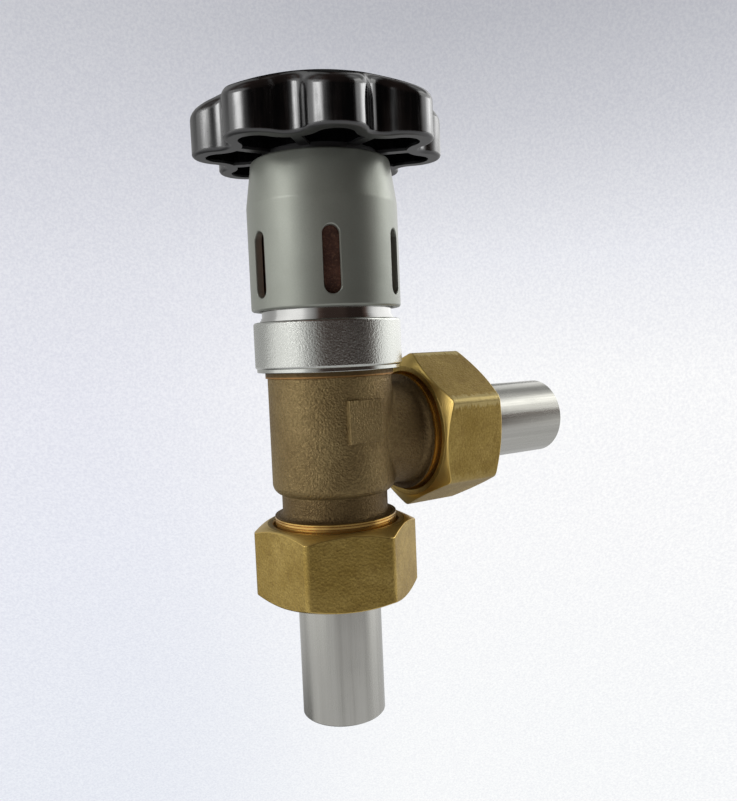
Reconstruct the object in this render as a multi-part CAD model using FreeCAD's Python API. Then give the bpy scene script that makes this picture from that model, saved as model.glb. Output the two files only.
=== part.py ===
import FreeCAD, Part
import math
import os

# Angle-pattern valve with union tails. Millimetres. The origin is the middle of the inlet
# tube's open end, +Z runs up along the spindle and +X along the outlet.

# Stainless tails
TUBE_OD = 21.3
TUBE_WALL = 2.0
TAIL_LENGTH = 39.2
TAIL_COLLAR_OD = 29.6
TAIL_COLLAR_THICKNESS = 4.0
TAIL_COLLAR_GAP = 1.1
TAIL_NECK_RISE = 0.3
TAIL_NECK_REACH = 0.4
TAIL_FILLET = 0.8
TAIL_CHAMFER = 0.25
GASKET_THICKNESS = 2.0

# Union nuts
NUT_ACROSS_FLATS = 37.0
NUT_LENGTH = 18.8
NUT_EDGE_ROUNDING = 0.8
NUT_FACE_OD = 35.6
NUT_FRONT_CHAMFER = 1.9
NUT_REAR_CHAMFER = 1.5
NUT_MOUTH_BEVEL = 0.3
NUT_MOUTH_DEPTH = 0.9
NUT_OVERLAP = 9.0
NUT_TUBE_GAP = 0.35
INLET_NUT_TURN = 21.5
OUTLET_NUT_TURN = 6.4

# Body casting, distances from the crossing of the two passages
INLET_FACE = 29.8
OUTLET_FACE = 31.8
LEG_THREAD_LEAD = 0.4
LEG_SHOULDER_LENGTH = 2.9
LEG_RING_SPACING = 0.7
LEG_RING_GROOVE = 0.2
LEG_NECK_OD = 27.0
LEG_FLARE = 1.6
LEG_BORE = 19.0
BARREL_OD = 31.4
BARREL_DROP = 13.3
BARREL_RISE = 17.7
BARREL_ROUNDING = 2.8
BRANCH_FILLET = 1.6
BAND_OD = 32.4
BAND_HEIGHT = 1.5
TOP_NECK_OD = 30.0
TOP_NECK_HEIGHT = 7.8
CHAMBER_BORE = 24.0
CHAMBER_DROP = 9.8
SEAT_HOLE = 17.2
PAD_WIDTH = 9.4
PAD_HEIGHT = 10.4
PAD_RISE = 5.4
PAD_PROUD = 0.6
PAD_ROUNDING = 0.35

# Seat and plug
SEAT_BORE = 14.4
SEAT_LIP_WIDTH = 0.9
SEAT_LIP_HEIGHT = 0.7
SEAT_FLANGE_OD = 20.4
SEAT_FLANGE_THICKNESS = 1.1
PLUG_OD = 19.2
PLUG_THICKNESS = 3.4
PLUG_RIM_DEPTH = 1.1
PLUG_STEM_OD = 12.4
PLUG_STEM_LENGTH = 9.0
PLUG_SOCKET_FLOOR = 1.5
SEAL_OD = 18.0
SEAL_THICKNESS = 2.0
PLUG_WASHER_OD = 10.4
PLUG_WASHER_THICKNESS = 1.0
PLUG_SCREW_OD = 4.0
PLUG_SCREW_HEAD_OD = 7.0
PLUG_SCREW_HEAD_HEIGHT = 2.4
PLUG_SCREW_GRIP = 4.0
SWIVEL_GROOVE_RISE = 3.5
SWIVEL_CLIP_THICKNESS = 1.3
SWIVEL_CLIP_OD = 10.0
SWIVEL_CLIP_OPENING = 3.0
SWIVEL_GROOVE_OD = 6.2

# Spindle
LIFT = 5.0
SPINDLE_OD = 8.0
SPINDLE_THREAD_OD = 12.0
SPINDLE_THREAD_LENGTH = 17.0
SPINDLE_SQUARE = 5.6

# Bonnet and its seals
BONNET_REACH = 12.5
FLANGE_OD = 29.6
FLANGE_THICKNESS = 2.5
BONNET_TUBE_OD = 24.0
BONNET_GUIDE_LENGTH = 13.5
STEM_RING_SECTION = 1.54
STEM_RING_SPACING = 5.4
BODY_RING_SECTION = 1.76
PACKING_BORE = 16.0
PACKING_HEIGHT = 4.0
FOLLOWER_HEIGHT = 2.0
GLAND_GRIP = 4.6
GLAND_HEAD_HEIGHT = 2.6
GLAND_ACROSS_FLATS = 19.0

# Coupling ring, neck collar and scale tube
COUPLING_OD = 37.1
COUPLING_SHOULDER = 2.1
COUPLING_ROUNDING = 0.6
COUPLING_STEP_OD = 36.3
COUPLING_STEP_HEIGHT = 0.9
COLLAR_OD = 32.6
COLLAR_HEIGHT = 4.9
COLLAR_STEP_HEIGHT = 0.5
COLLAR_STEP_WIDTH = 0.25
SCALE_TUBE_WALL = 1.5
SCALE_TUBE_INSET = 0.05
SCALE_TUBE_HEIGHT = 24.5
SCALE_TUBE_LID = 1.2
CLIP_THICKNESS = 1.2
CLIP_PROUD = 1.6
CLIP_DEPTH = 0.8
CLIP_OPENING = 8.0

# Slotted skirt
SKIRT_OD = 37.6
SKIRT_WALL = 1.9
SKIRT_GAP = 2.7
SKIRT_LENGTH = 36.4
SKIRT_TOP_OD = 34.5
SKIRT_TAPER_LENGTH = 11.0
SKIRT_LID = 2.4
SKIRT_LIP = 0.7
SLOT_COUNT = 6
SLOT_WIDTH = 4.1
SLOT_LENGTH = 15.7
SLOT_RISE = 2.9
SLOT_TURN = 4.4

# Handwheel
WHEEL_OD = 62.4
WHEEL_HEIGHT = 18.0
WHEEL_GAP = 1.1
WHEEL_WALL = 3.2
WHEEL_DOME_RADIUS = 68.0
LOBE_COUNT = 8
LOBE_RADIUS = 7.6
LOBE_DEPTH = 6.0
LOBE_TURN = 23.1
WHEEL_SHOULDER = 3.0
WHEEL_INNER_SHOULDER = 1.5
WHEEL_RIM_ROUNDING = 0.9
RIB_THICKNESS = 2.4
HUB_OD = 29.0
HUB_SPIGOT_OD = 25.8
INSERT_OD = 14.0
INSERT_FLANGE_OD = 28.6
INSERT_FLANGE_THICKNESS = 1.2
CAP_OD = 22.0
CAP_THICKNESS = 1.8
CAP_LIP = 0.5
CAP_SINK = 0.4
WHEEL_SCREW_OD = 4.0
WHEEL_SCREW_LENGTH = 10.0
WHEEL_SCREW_HEAD_OD = 8.0
WHEEL_SCREW_HEAD_HEIGHT = 2.4
WHEEL_WASHER_OD = 12.0
WHEEL_WASHER_THICKNESS = 0.8

# Fits: radial play of turning and sliding pieces, of pressed and screwed pieces, and open room
RUNNING_PLAY = 0.05
SEATED_PLAY = 0.03
FREE_GAP = 0.4

# Levels that several pieces share
CENTRE = TAIL_LENGTH + GASKET_THICKNESS + INLET_FACE
CHAMBER_FLOOR = CENTRE - CHAMBER_DROP
SEAT_TOP = CHAMBER_FLOOR + SEAT_FLANGE_THICKNESS + SEAT_LIP_HEIGHT
SEAL_TOP = SEAT_TOP + SEAL_THICKNESS
PLUG_TOP = SEAL_TOP + PLUG_THICKNESS
SPINDLE_TIP = PLUG_TOP + PLUG_SOCKET_FLOOR
SWIVEL_GROOVE = SPINDLE_TIP + SWIVEL_GROOVE_RISE
BARREL_TOP = CENTRE + BARREL_RISE
TOP_NECK_TOP = BARREL_TOP + TOP_NECK_HEIGHT
FLANGE_TOP = TOP_NECK_TOP + FLANGE_THICKNESS
COUPLING_TOP = FLANGE_TOP + COUPLING_SHOULDER
COLLAR_TOP = COUPLING_TOP + COLLAR_HEIGHT
SCALE_TUBE_TOP = COLLAR_TOP + SCALE_TUBE_HEIGHT
BONNET_BOTTOM = TOP_NECK_TOP - BONNET_REACH
THREAD_BOTTOM = BONNET_BOTTOM + BONNET_GUIDE_LENGTH
PACKING_BOTTOM = THREAD_BOTTOM + SPINDLE_THREAD_LENGTH + LIFT + 2 * FREE_GAP
FOLLOWER_TOP = PACKING_BOTTOM + PACKING_HEIGHT + FOLLOWER_HEIGHT
BONNET_TOP = max(FOLLOWER_TOP + GLAND_GRIP, SCALE_TUBE_TOP + 2 * CLIP_THICKNESS)
SKIRT_BOTTOM = COUPLING_TOP + SKIRT_GAP
SKIRT_TOP = SKIRT_BOTTOM + SKIRT_LENGTH
SKIRT_LID_BOTTOM = SKIRT_TOP - SKIRT_LID
RIM_BOTTOM = SKIRT_TOP + WHEEL_GAP
WHEEL_TOP = RIM_BOTTOM + WHEEL_HEIGHT
DOME_CENTRE = WHEEL_TOP - WHEEL_DOME_RADIUS
CAP_TOP = DOME_CENTRE + math.sqrt(WHEEL_DOME_RADIUS ** 2 - (CAP_OD / 2) ** 2) - CAP_SINK
CAP_SEAT = CAP_TOP - CAP_THICKNESS
WASHER_TOP = CAP_SEAT - WHEEL_SCREW_HEAD_HEIGHT
INSERT_TOP = WASHER_TOP - WHEEL_WASHER_THICKNESS
INSERT_BOTTOM = SKIRT_LID_BOTTOM - INSERT_FLANGE_THICKNESS

LEG_THREAD_OD = TAIL_COLLAR_OD + 2 * TAIL_COLLAR_GAP
CLIP_OD = BONNET_TUBE_OD + 2 * CLIP_PROUD
HALF_LOBE = math.pi / LOBE_COUNT
LOBE_CENTRE = WHEEL_OD / 2 - LOBE_RADIUS
VALLEY_FLOOR = WHEEL_OD / 2 - LOBE_DEPTH


def point(x, y, z):
    return FreeCAD.Vector(x, y, z)


def polar(radius, angle, z=0):
    return point(radius * math.cos(angle), radius * math.sin(angle), z)


def turned(corners):
    """Solid of revolution about Z through (radius, height) corners."""
    ring = [point(radius, 0, height) for radius, height in corners]
    face = Part.Face(Part.makePolygon(ring + ring[:1]))
    return face.revolve(point(0, 0, 0), point(0, 0, 1), 360)


def disc(diameter, bottom, top):
    return Part.makeCylinder(diameter / 2, top - bottom, point(0, 0, bottom))


def washer(outer, inner, bottom, top):
    return disc(outer, bottom, top).cut(disc(inner, bottom - 1, top + 1))


def rims(solid, diameter, height):
    """Round edges of one diameter at one height."""
    found = []
    for edge in solid.Edges:
        if not isinstance(edge.Curve, Part.Circle):
            continue
        same_size = abs(2 * edge.Curve.Radius - diameter) < 1e-4
        if same_size and abs(edge.Curve.Center.z - height) < 1e-4:
            found.append(edge)
    return found


def prism(face, bottom, top):
    base = face.copy()
    base.translate(point(0, 0, bottom))
    return base.extrude(point(0, 0, top - bottom))


def hexagon(across_flats, turn):
    radius = across_flats / math.sqrt(3)
    corners = [polar(radius, math.radians(turn + 60 * side)) for side in range(6)]
    return Part.Face(Part.makePolygon(corners + corners[:1]))


def to_inlet(shape):
    """Turn a piece built upwards from the crossing so that it points down the inlet."""
    shape.rotate(point(0, 0, 0), point(1, 0, 0), 180)
    shape.translate(point(0, 0, CENTRE))
    return shape


def to_outlet(shape):
    """Turn a piece built upwards from the crossing so that it points out along +X."""
    shape.rotate(point(0, 0, 0), point(0, 1, 0), 90)
    shape.translate(point(0, 0, CENTRE))
    return shape


def leg(face):
    """Cast leg from the crossing to its sealing face: neck, flare, ringed shoulder and thread."""
    shoulder_top = face - NUT_OVERLAP + NUT_MOUTH_DEPTH
    shoulder_bottom = shoulder_top - LEG_SHOULDER_LENGTH
    neck = LEG_NECK_OD / 2
    shoulder = LEG_THREAD_OD / 2 - LEG_THREAD_LEAD
    first_ring = shoulder_bottom + LEG_RING_SPACING
    second_ring = first_ring + LEG_RING_SPACING
    solid = turned([
        (0, 0),
        (neck, 0),
        (neck, shoulder_bottom),
        (shoulder, shoulder_bottom),
        (shoulder, first_ring - LEG_RING_GROOVE),
        (shoulder - LEG_RING_GROOVE, first_ring),
        (shoulder, first_ring),
        (shoulder, second_ring - LEG_RING_GROOVE),
        (shoulder - LEG_RING_GROOVE, second_ring),
        (shoulder, second_ring),
        (shoulder, shoulder_top),
        (LEG_THREAD_OD / 2, shoulder_top + LEG_THREAD_LEAD),
        (LEG_THREAD_OD / 2, face - LEG_THREAD_LEAD),
        (shoulder, face),
        (0, face),
    ])
    flare = min(LEG_FLARE, 0.95 * (shoulder - neck))
    return solid.makeFillet(flare, rims(solid, LEG_NECK_OD, shoulder_bottom))


def barrel():
    bottom = CENTRE - BARREL_DROP
    solid = turned([
        (0, bottom),
        (BARREL_OD / 2, bottom),
        (BARREL_OD / 2, BARREL_TOP - BAND_HEIGHT),
        (BAND_OD / 2, BARREL_TOP - BAND_HEIGHT),
        (BAND_OD / 2, BARREL_TOP),
        (TOP_NECK_OD / 2, BARREL_TOP),
        (TOP_NECK_OD / 2, TOP_NECK_TOP),
        (0, TOP_NECK_TOP),
    ])
    return solid.makeFillet(BARREL_ROUNDING, rims(solid, BARREL_OD, bottom))


def pad():
    """Bare raised square on the side that faces away from neither passage."""
    front = -(BARREL_OD / 2 + PAD_PROUD)
    block = Part.makeBox(PAD_WIDTH, BARREL_OD / 4, PAD_HEIGHT)
    block.translate(point(-PAD_WIDTH / 2, front, CENTRE + PAD_RISE - PAD_HEIGHT / 2))
    outline = [edge for edge in block.Edges if abs(edge.CenterOfMass.y - front) < 1e-6]
    return block.makeFillet(PAD_ROUNDING, outline)


def valve_body():
    casting = barrel().fuse(to_outlet(disc(LEG_NECK_OD, 0, OUTLET_FACE)))
    joints = [edge for edge in casting.Edges if isinstance(edge.Curve, Part.BSplineCurve)]
    casting = casting.makeFillet(BRANCH_FILLET, joints)
    casting = casting.fuse([to_outlet(leg(OUTLET_FACE)), to_inlet(leg(INLET_FACE)), pad()])
    passages = [
        disc(LEG_BORE, TAIL_LENGTH, CENTRE - BARREL_DROP),
        disc(SEAT_HOLE, TAIL_LENGTH, CENTRE),
        disc(CHAMBER_BORE, CHAMBER_FLOOR, TOP_NECK_TOP + 1),
        to_outlet(disc(LEG_BORE, 0, OUTLET_FACE + 1)),
    ]
    return casting.cut(passages).removeSplitter()


def seat_ring():
    shank = SEAT_HOLE / 2 - SEATED_PLAY
    flange_top = CHAMBER_FLOOR + SEAT_FLANGE_THICKNESS
    bottom = CENTRE - BARREL_DROP
    return turned([
        (SEAT_BORE / 2, bottom),
        (shank, bottom),
        (shank, CHAMBER_FLOOR),
        (SEAT_FLANGE_OD / 2, CHAMBER_FLOOR),
        (SEAT_FLANGE_OD / 2, flange_top),
        (SEAT_BORE / 2 + SEAT_LIP_WIDTH, flange_top),
        (SEAT_BORE / 2 + SEAT_LIP_WIDTH, SEAT_TOP),
        (SEAT_BORE / 2, SEAT_TOP),
    ])


def union_nut(turn):
    """Nut with its mouth at height 0 and the tail's shoulder towards the top."""
    blank = prism(hexagon(NUT_ACROSS_FLATS, turn), 0, NUT_LENGTH)
    upright = [edge for edge in blank.Edges if edge.BoundBox.ZLength > NUT_LENGTH / 2]
    blank = blank.makeFillet(NUT_EDGE_ROUNDING, upright)
    corner = NUT_ACROSS_FLATS / math.sqrt(3)
    rear = NUT_ACROSS_FLATS / 2 - (corner - NUT_ACROSS_FLATS / 2) * 0.1
    cones = turned([
        (0, 0),
        (NUT_FACE_OD / 2, 0),
        (corner, NUT_FRONT_CHAMFER),
        (corner, NUT_LENGTH - NUT_REAR_CHAMFER),
        (rear, NUT_LENGTH),
        (0, NUT_LENGTH),
    ])
    thread = LEG_THREAD_OD / 2 + SEATED_PLAY
    mouth = thread + NUT_MOUTH_BEVEL
    shoulder = NUT_OVERLAP + GASKET_THICKNESS + TAIL_COLLAR_THICKNESS
    hole = TUBE_OD / 2 + TAIL_NECK_RISE + NUT_TUBE_GAP
    room = turned([
        (0, -1),
        (mouth, -1),
        (mouth, 0),
        (thread, NUT_MOUTH_DEPTH),
        (thread, shoulder),
        (hole + TAIL_FILLET, shoulder),
        (hole, shoulder + TAIL_FILLET),
        (hole, NUT_LENGTH + 1),
        (0, NUT_LENGTH + 1),
    ])
    return blank.common(cones).cut(room)


def gasket():
    return washer(TAIL_COLLAR_OD, LEG_BORE, 0, GASKET_THICKNESS)


def tail():
    """Tube with its flat collar at height 0 and a thicker neck that ends just behind the nut."""
    bore = TUBE_OD / 2 - TUBE_WALL
    neck = TUBE_OD / 2 + TAIL_NECK_RISE
    neck_end = NUT_LENGTH - NUT_OVERLAP - GASKET_THICKNESS + TAIL_NECK_REACH
    solid = turned([
        (bore, 0),
        (TAIL_COLLAR_OD / 2, 0),
        (TAIL_COLLAR_OD / 2, TAIL_COLLAR_THICKNESS),
        (neck, TAIL_COLLAR_THICKNESS),
        (neck, neck_end - TAIL_NECK_RISE),
        (TUBE_OD / 2, neck_end),
        (TUBE_OD / 2, TAIL_LENGTH),
        (bore, TAIL_LENGTH),
    ])
    solid = solid.makeFillet(TAIL_FILLET, rims(solid, 2 * neck, TAIL_COLLAR_THICKNESS))
    return solid.makeChamfer(TAIL_CHAMFER, rims(solid, TUBE_OD, TAIL_LENGTH))


def lifted(shape, height):
    shape.translate(point(0, 0, height))
    return shape


def plug():
    rim_inner = SEAL_OD / 2 + SEATED_PLAY
    socket = SPINDLE_OD / 2 + RUNNING_PLAY
    groove = SWIVEL_CLIP_OD / 2 + SEATED_PLAY
    half_groove = SWIVEL_CLIP_THICKNESS / 2 + SEATED_PLAY
    stem_top = PLUG_TOP + PLUG_STEM_LENGTH
    screw = PLUG_SCREW_OD / 2 + SEATED_PLAY
    solid = turned([
        (screw, SEAL_TOP),
        (rim_inner, SEAL_TOP),
        (rim_inner, SEAL_TOP - PLUG_RIM_DEPTH),
        (PLUG_OD / 2, SEAL_TOP - PLUG_RIM_DEPTH),
        (PLUG_OD / 2, SEAL_TOP + PLUG_THICKNESS / 2),
        (PLUG_STEM_OD / 2, PLUG_TOP),
        (PLUG_STEM_OD / 2, stem_top),
        (socket, stem_top),
        (socket, SWIVEL_GROOVE + half_groove),
        (groove, SWIVEL_GROOVE + half_groove),
        (groove, SWIVEL_GROOVE - half_groove),
        (socket, SWIVEL_GROOVE - half_groove),
        (socket, SPINDLE_TIP),
        (0, SPINDLE_TIP),
        (0, SEAL_TOP + PLUG_SCREW_GRIP),
        (screw, SEAL_TOP + PLUG_SCREW_GRIP),
    ])
    return solid


def plug_seal():
    return washer(SEAL_OD, PLUG_SCREW_OD + 2 * SEATED_PLAY, SEAT_TOP, SEAL_TOP)


def plug_washer():
    bottom = SEAT_TOP - PLUG_WASHER_THICKNESS
    return washer(PLUG_WASHER_OD, PLUG_SCREW_OD + 2 * SEATED_PLAY, bottom, SEAT_TOP)


def plug_screw():
    head_top = SEAT_TOP - PLUG_WASHER_THICKNESS
    head = prism(hexagon(PLUG_SCREW_HEAD_OD, 0), head_top - PLUG_SCREW_HEAD_HEIGHT, head_top)
    shank_top = SEAL_TOP + PLUG_SCREW_GRIP - SEATED_PLAY
    return head.fuse(disc(PLUG_SCREW_OD, head_top - PLUG_SCREW_HEAD_HEIGHT / 2, shank_top))


def swivel_clip():
    """Open ring in the plug's inner groove that holds the spindle tip."""
    bottom = SWIVEL_GROOVE - SWIVEL_CLIP_THICKNESS / 2
    inner = SWIVEL_GROOVE_OD + 2 * RUNNING_PLAY
    ring = washer(SWIVEL_CLIP_OD, inner, bottom, bottom + SWIVEL_CLIP_THICKNESS)
    opening = Part.makeBox(SWIVEL_CLIP_OD, SWIVEL_CLIP_OPENING, SWIVEL_CLIP_THICKNESS)
    opening.translate(point(0, -SWIVEL_CLIP_OPENING / 2, bottom))
    return ring.cut(opening)


def spindle():
    shaft = SPINDLE_OD / 2
    half_groove = SWIVEL_CLIP_THICKNESS / 2 + RUNNING_PLAY
    thread_bottom = THREAD_BOTTOM + FREE_GAP
    thread_top = thread_bottom + SPINDLE_THREAD_LENGTH
    turned_part = turned([
        (0, SPINDLE_TIP),
        (shaft, SPINDLE_TIP),
        (shaft, SWIVEL_GROOVE - half_groove),
        (SWIVEL_GROOVE_OD / 2, SWIVEL_GROOVE - half_groove),
        (SWIVEL_GROOVE_OD / 2, SWIVEL_GROOVE + half_groove),
        (shaft, SWIVEL_GROOVE + half_groove),
        (shaft, thread_bottom),
        (SPINDLE_THREAD_OD / 2, thread_bottom),
        (SPINDLE_THREAD_OD / 2, thread_top),
        (shaft, thread_top),
        (shaft, INSERT_BOTTOM),
        (0, INSERT_BOTTOM),
    ])
    drive = Part.makeBox(SPINDLE_SQUARE, SPINDLE_SQUARE, INSERT_TOP - INSERT_BOTTOM)
    drive.translate(point(-SPINDLE_SQUARE / 2, -SPINDLE_SQUARE / 2, INSERT_BOTTOM))
    drive = drive.common(disc(SPINDLE_OD - 2 * SEATED_PLAY, INSERT_BOTTOM, INSERT_TOP))
    hole_floor = WASHER_TOP - WHEEL_SCREW_LENGTH - FREE_GAP
    screw_hole = disc(WHEEL_SCREW_OD + 2 * SEATED_PLAY, hole_floor, INSERT_TOP)
    return turned_part.fuse(drive).cut(screw_hole)


def stem_ring_levels():
    middle = BONNET_BOTTOM + BONNET_GUIDE_LENGTH / 2
    return middle - STEM_RING_SPACING / 2, middle + STEM_RING_SPACING / 2


def body_ring_level():
    return (BONNET_BOTTOM + TOP_NECK_TOP) / 2


def seal_groove(inner, outer, level, section):
    half = section / 2 + SEATED_PLAY
    return washer(outer, inner, level - half, level + half)


def o_ring(inner, level, section):
    return Part.makeTorus(inner / 2 + section / 2, section / 2, point(0, 0, level), point(0, 0, 1))


def bonnet():
    """Headwork: spigot with seal groove, clamped flange, thread tube and packing chamber."""
    spigot = CHAMBER_BORE / 2 - SEATED_PLAY
    outside = turned([
        (0, BONNET_BOTTOM),
        (spigot, BONNET_BOTTOM),
        (spigot, TOP_NECK_TOP),
        (FLANGE_OD / 2, TOP_NECK_TOP),
        (FLANGE_OD / 2, FLANGE_TOP),
        (BONNET_TUBE_OD / 2, FLANGE_TOP),
        (BONNET_TUBE_OD / 2, BONNET_TOP),
        (0, BONNET_TOP),
    ])
    guide = SPINDLE_OD + 2 * RUNNING_PLAY
    inside = [
        disc(guide, BONNET_BOTTOM - 1, THREAD_BOTTOM + 1),
        disc(SPINDLE_THREAD_OD + 2 * RUNNING_PLAY, THREAD_BOTTOM, PACKING_BOTTOM + 1),
        disc(PACKING_BORE, PACKING_BOTTOM, BONNET_TOP + 1),
        clip_groove(),
    ]
    groove_floor = guide + 2 * STEM_RING_SECTION + 2 * SEATED_PLAY
    for level in stem_ring_levels():
        inside.append(seal_groove(SPINDLE_OD - 1, groove_floor, level, STEM_RING_SECTION))
    body_groove = CHAMBER_BORE - 2 * BODY_RING_SECTION - 4 * SEATED_PLAY
    inside.append(seal_groove(body_groove, CHAMBER_BORE + 1, body_ring_level(), BODY_RING_SECTION))
    return outside.cut(inside)


def stem_o_ring(level):
    return o_ring(SPINDLE_OD + 2 * RUNNING_PLAY, level, STEM_RING_SECTION)


def bonnet_o_ring():
    inner = CHAMBER_BORE - 2 * BODY_RING_SECTION - 2 * SEATED_PLAY
    return o_ring(inner, body_ring_level(), BODY_RING_SECTION)


def stem_packing():
    inner = SPINDLE_OD + 2 * RUNNING_PLAY
    outer = PACKING_BORE - 2 * SEATED_PLAY
    return washer(outer, inner, PACKING_BOTTOM, PACKING_BOTTOM + PACKING_HEIGHT)


def gland_follower():
    bottom = PACKING_BOTTOM + PACKING_HEIGHT
    return washer(PACKING_BORE - 2 * SEATED_PLAY, SPINDLE_OD + 2 * FREE_GAP, bottom, FOLLOWER_TOP)


def gland_nut():
    head = prism(hexagon(GLAND_ACROSS_FLATS, 0), BONNET_TOP, BONNET_TOP + GLAND_HEAD_HEIGHT)
    shank = disc(PACKING_BORE - 2 * SEATED_PLAY, FOLLOWER_TOP, BONNET_TOP + GLAND_HEAD_HEIGHT / 2)
    return head.fuse(shank).cut(disc(SPINDLE_OD + 2 * FREE_GAP, FOLLOWER_TOP - 1, WHEEL_TOP))


def coupling_ring():
    """Round nut that pulls the bonnet flange onto the top of the body."""
    thread = TOP_NECK_OD / 2 + SEATED_PLAY
    recess = FLANGE_OD / 2 + FREE_GAP
    recess_bottom = TOP_NECK_TOP - FREE_GAP
    step_top = BARREL_TOP + COUPLING_STEP_HEIGHT
    passage = BONNET_TUBE_OD / 2 + FREE_GAP
    solid = turned([
        (thread, BARREL_TOP),
        (COUPLING_STEP_OD / 2, BARREL_TOP),
        (COUPLING_STEP_OD / 2, step_top),
        (COUPLING_OD / 2, step_top),
        (COUPLING_OD / 2, COUPLING_TOP),
        (passage, COUPLING_TOP),
        (passage, FLANGE_TOP),
        (recess, FLANGE_TOP),
        (recess, recess_bottom),
        (thread, recess_bottom),
    ])
    return solid.makeFillet(COUPLING_ROUNDING, rims(solid, COUPLING_OD, COUPLING_TOP))


def neck_collar():
    inner = BONNET_TUBE_OD / 2 + SEATED_PLAY
    outer = COLLAR_OD / 2
    return turned([
        (inner, COUPLING_TOP),
        (outer + 2 * COLLAR_STEP_WIDTH, COUPLING_TOP),
        (outer + 2 * COLLAR_STEP_WIDTH, COUPLING_TOP + COLLAR_STEP_HEIGHT),
        (outer + COLLAR_STEP_WIDTH, COUPLING_TOP + COLLAR_STEP_HEIGHT),
        (outer + COLLAR_STEP_WIDTH, COUPLING_TOP + 2 * COLLAR_STEP_HEIGHT),
        (outer, COUPLING_TOP + 2 * COLLAR_STEP_HEIGHT),
        (outer, COLLAR_TOP),
        (inner, COLLAR_TOP),
    ])


def scale_tube():
    """Tube behind the slots, closed on top by a lid that fits the bonnet tube."""
    outer = COLLAR_OD / 2 - SCALE_TUBE_INSET
    inner = outer - SCALE_TUBE_WALL
    lid_inner = BONNET_TUBE_OD / 2 + SEATED_PLAY
    return turned([
        (inner, COLLAR_TOP),
        (outer, COLLAR_TOP),
        (outer, SCALE_TUBE_TOP),
        (lid_inner, SCALE_TUBE_TOP),
        (lid_inner, SCALE_TUBE_TOP - SCALE_TUBE_LID),
        (inner, SCALE_TUBE_TOP - SCALE_TUBE_LID),
    ])


def clip_groove():
    inner = BONNET_TUBE_OD - 2 * CLIP_DEPTH
    return washer(BONNET_TUBE_OD + 1, inner, SCALE_TUBE_TOP, SCALE_TUBE_TOP + CLIP_THICKNESS)


def scale_tube_clip():
    top = SCALE_TUBE_TOP + CLIP_THICKNESS
    ring = washer(CLIP_OD, BONNET_TUBE_OD - 2 * CLIP_DEPTH + 2 * SEATED_PLAY, SCALE_TUBE_TOP, top)
    opening = Part.makeBox(CLIP_OD, CLIP_OPENING, CLIP_THICKNESS)
    opening.translate(point(0, -CLIP_OPENING / 2, SCALE_TUBE_TOP))
    return ring.cut(opening)


def slot():
    """Upright obround bar that cuts one slot on the +X side."""
    radius = SLOT_WIDTH / 2
    low = SKIRT_BOTTOM + SLOT_RISE + radius
    high = SKIRT_BOTTOM + SLOT_RISE + SLOT_LENGTH - radius
    reach = SKIRT_OD / 2 + 1
    outward = point(1, 0, 0)
    ends = [Part.makeCylinder(radius, reach, point(0, 0, level), outward) for level in (low, high)]
    middle = Part.makeBox(reach, SLOT_WIDTH, high - low, point(0, -radius, low))
    return middle.fuse(ends)


def skirt():
    """Slotted sleeve that hangs from the handwheel hub and covers the scale tube."""
    outer = SKIRT_OD / 2
    top = SKIRT_TOP_OD / 2
    taper_bottom = SKIRT_TOP - SKIRT_TAPER_LENGTH
    lid_share = (SKIRT_LID_BOTTOM - taper_bottom) / SKIRT_TAPER_LENGTH
    under_lid = outer + (top - outer) * lid_share - SKIRT_WALL
    hole = HUB_SPIGOT_OD / 2 + SEATED_PLAY
    solid = turned([
        (outer - SKIRT_WALL, SKIRT_BOTTOM),
        (outer, SKIRT_BOTTOM),
        (outer, taper_bottom),
        (top, SKIRT_TOP),
        (hole, SKIRT_TOP),
        (hole, SKIRT_LID_BOTTOM),
        (under_lid, SKIRT_LID_BOTTOM),
        (outer - SKIRT_WALL, taper_bottom),
    ])
    soft = rims(solid, SKIRT_OD, SKIRT_BOTTOM) + rims(solid, SKIRT_TOP_OD, SKIRT_TOP)
    solid = solid.makeFillet(SKIRT_LIP, soft)
    bars = []
    for number in range(SLOT_COUNT):
        bar = slot()
        bar.rotate(point(0, 0, 0), point(0, 0, 1), SLOT_TURN + number * 360 / SLOT_COUNT)
        bars.append(bar)
    return solid.cut(bars)


def valley_radius():
    """Radius of the hollow arc that meets two neighbouring lobe arcs smoothly."""
    along = LOBE_CENTRE * math.cos(HALF_LOBE)
    rise = LOBE_RADIUS ** 2 - LOBE_CENTRE ** 2 - VALLEY_FLOOR ** 2 + 2 * VALLEY_FLOOR * along
    return rise / (2 * (VALLEY_FLOOR - along - LOBE_RADIUS))


def lobed_face(inset):
    """Lobed outline of the handwheel, drawn the given distance inside its outer wall."""
    hollow = valley_radius()
    arcs = []
    for number in range(LOBE_COUNT):
        angle = math.radians(LOBE_TURN) + 2 * HALF_LOBE * number
        lobe = polar(LOBE_CENTRE, angle)
        before = polar(VALLEY_FLOOR + hollow, angle - HALF_LOBE)
        after = polar(VALLEY_FLOOR + hollow, angle + HALF_LOBE)
        following = polar(LOBE_CENTRE, angle + 2 * HALF_LOBE)
        start = lobe + (before - lobe).normalize() * (LOBE_RADIUS - inset)
        end = lobe + (after - lobe).normalize() * (LOBE_RADIUS - inset)
        across = following + (after - following).normalize() * (LOBE_RADIUS - inset)
        tip = polar(WHEEL_OD / 2 - inset, angle)
        dip = polar(VALLEY_FLOOR - inset, angle + HALF_LOBE)
        arcs.append(Part.Arc(start, tip, end).toShape())
        arcs.append(Part.Arc(end, dip, across).toShape())
    return Part.Face(Part.Wire(arcs))


def edges_at(solid, height):
    """Edges that lie flat at one height."""
    found = []
    for edge in solid.Edges:
        box = edge.BoundBox
        if abs(box.ZMin - height) < 1e-4 and abs(box.ZMax - height) < 1e-4:
            found.append(edge)
    return found


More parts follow.
